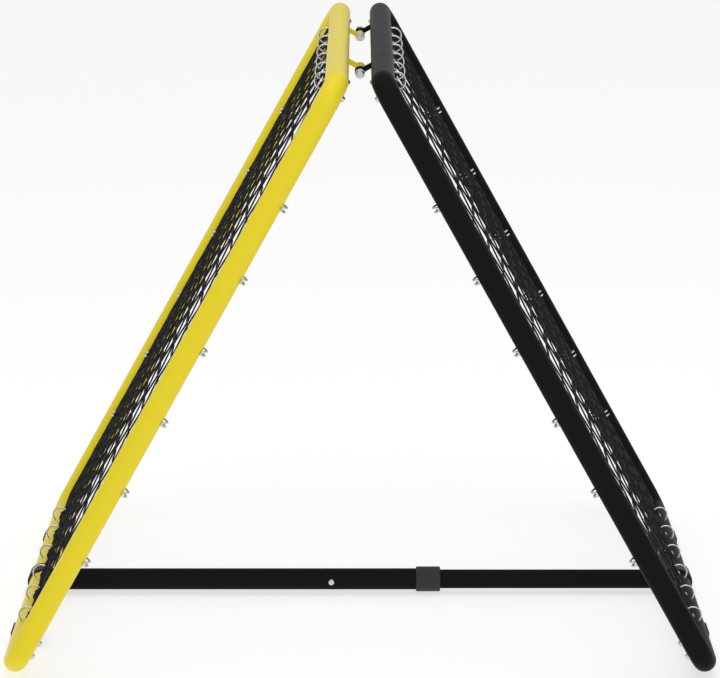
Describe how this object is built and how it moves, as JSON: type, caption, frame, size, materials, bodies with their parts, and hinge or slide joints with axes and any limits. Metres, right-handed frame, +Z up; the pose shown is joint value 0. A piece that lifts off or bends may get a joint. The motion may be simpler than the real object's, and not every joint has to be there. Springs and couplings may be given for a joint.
{
  "type": "double-sided folding ball rebounder",
  "caption": "A-frame rebounder: two rectangular tube frames with stretched nets lean together on top hinges and are spread by a telescopic bar with a snap button.",
  "frame": {"origin": "on the floor under the hinge axis, half way between the front and rear legs", "axes": "+Z up; +X from the yellow frame to the black frame along the spreader bar; Y along the rails and the hinge axis, with the snap button facing -Y"},
  "size_m": [0.877, 0.754, 0.7432],
  "materials": {
    "yellow_paint": "gloss powder coat",
    "black_paint": "gloss powder coat",
    "zinc": "bright zinc plate",
    "black_plastic": "fine grain",
    "grey_plastic": "fine grain",
    "black_rubber": "matt",
    "net_cord": "knotted cord",
    "spring_steel": "bright"
  },
  "bodies": {
    "yellow_frame": {"hinge_bolts": "zinc", "hinge_lock_nuts": "zinc", "hinge_sleeves": "zinc", "hinge_washers": "zinc", "yellow_bottom_hooks": "zinc", "yellow_bottom_rail": "yellow_paint", "yellow_corner_bends": "yellow_paint", "yellow_corner_screws": "zinc", "yellow_edge_cord": "net_cord", "yellow_foot_pads": "black_rubber", "yellow_hinge_lugs": "yellow_paint", "yellow_joint_inserts": "zinc", "yellow_leg_front": "yellow_paint", "yellow_leg_rear": "yellow_paint", "yellow_net": "net_cord", "yellow_side_hooks": "zinc", "yellow_top_hooks": "zinc", "yellow_top_rail": "yellow_paint"},
    "black_frame": {"black_bottom_hooks": "zinc", "black_bottom_rail": "black_paint", "black_corner_bends": "black_paint", "black_corner_screws": "zinc", "black_edge_cord": "net_cord", "black_foot_pads": "black_rubber", "black_hinge_lugs": "black_paint", "black_joint_inserts": "zinc", "black_leg_front": "black_paint", "black_leg_rear": "black_paint", "black_net": "net_cord", "black_side_hooks": "zinc", "black_top_hooks": "zinc", "black_top_rail": "black_paint"},
    "outer_bar": {"bar_collar": "grey_plastic", "bar_outer_tube": "black_paint", "yellow_bar_bracket": "black_plastic", "yellow_bracket_screw": "zinc"},
    "inner_bar": {"bar_inner_tube": "black_paint", "black_bar_bracket": "black_plastic", "black_bracket_screw": "zinc", "button_spring": "spring_steel", "slide_tube_plug": "black_plastic"},
    "button": {"snap_button": "zinc"}
  },
  "joints": [
    {"name": "frame_fold", "type": "hinge", "parent": "yellow_frame", "child": "black_frame", "pos_m": [0, 0, 0.72086], "axis": [0, -1, 0], "range_deg": [-22, 8], "deforming": ["snap_button"]},
    {"name": "outer_bar_turn", "type": "hinge", "parent": "yellow_frame", "child": "outer_bar", "pos_m": [-0.42106, 0, 0.019], "axis": [0, -1, 0], "range_deg": [-11.5, 4.5]},
    {"name": "inner_bar_turn", "type": "hinge", "parent": "black_frame", "child": "inner_bar", "pos_m": [0.42106, 0, 0.019], "axis": [0, -1, 0], "range_deg": [-4.5, 11.5]},
    {"name": "button_press", "type": "slide", "parent": "inner_bar", "child": "button", "axis": [0, 1, 0], "range_m": [0, 0.0052], "stiffness_N_per_m": 900, "springref_m": -0.004, "deforming": ["button_spring"]}
  ],
  "couplings": [
    {"joint": "outer_bar_turn", "follows": "frame_fold", "ratio": 0.5},
    {"joint": "inner_bar_turn", "follows": "frame_fold", "ratio": -0.5}
  ]
}
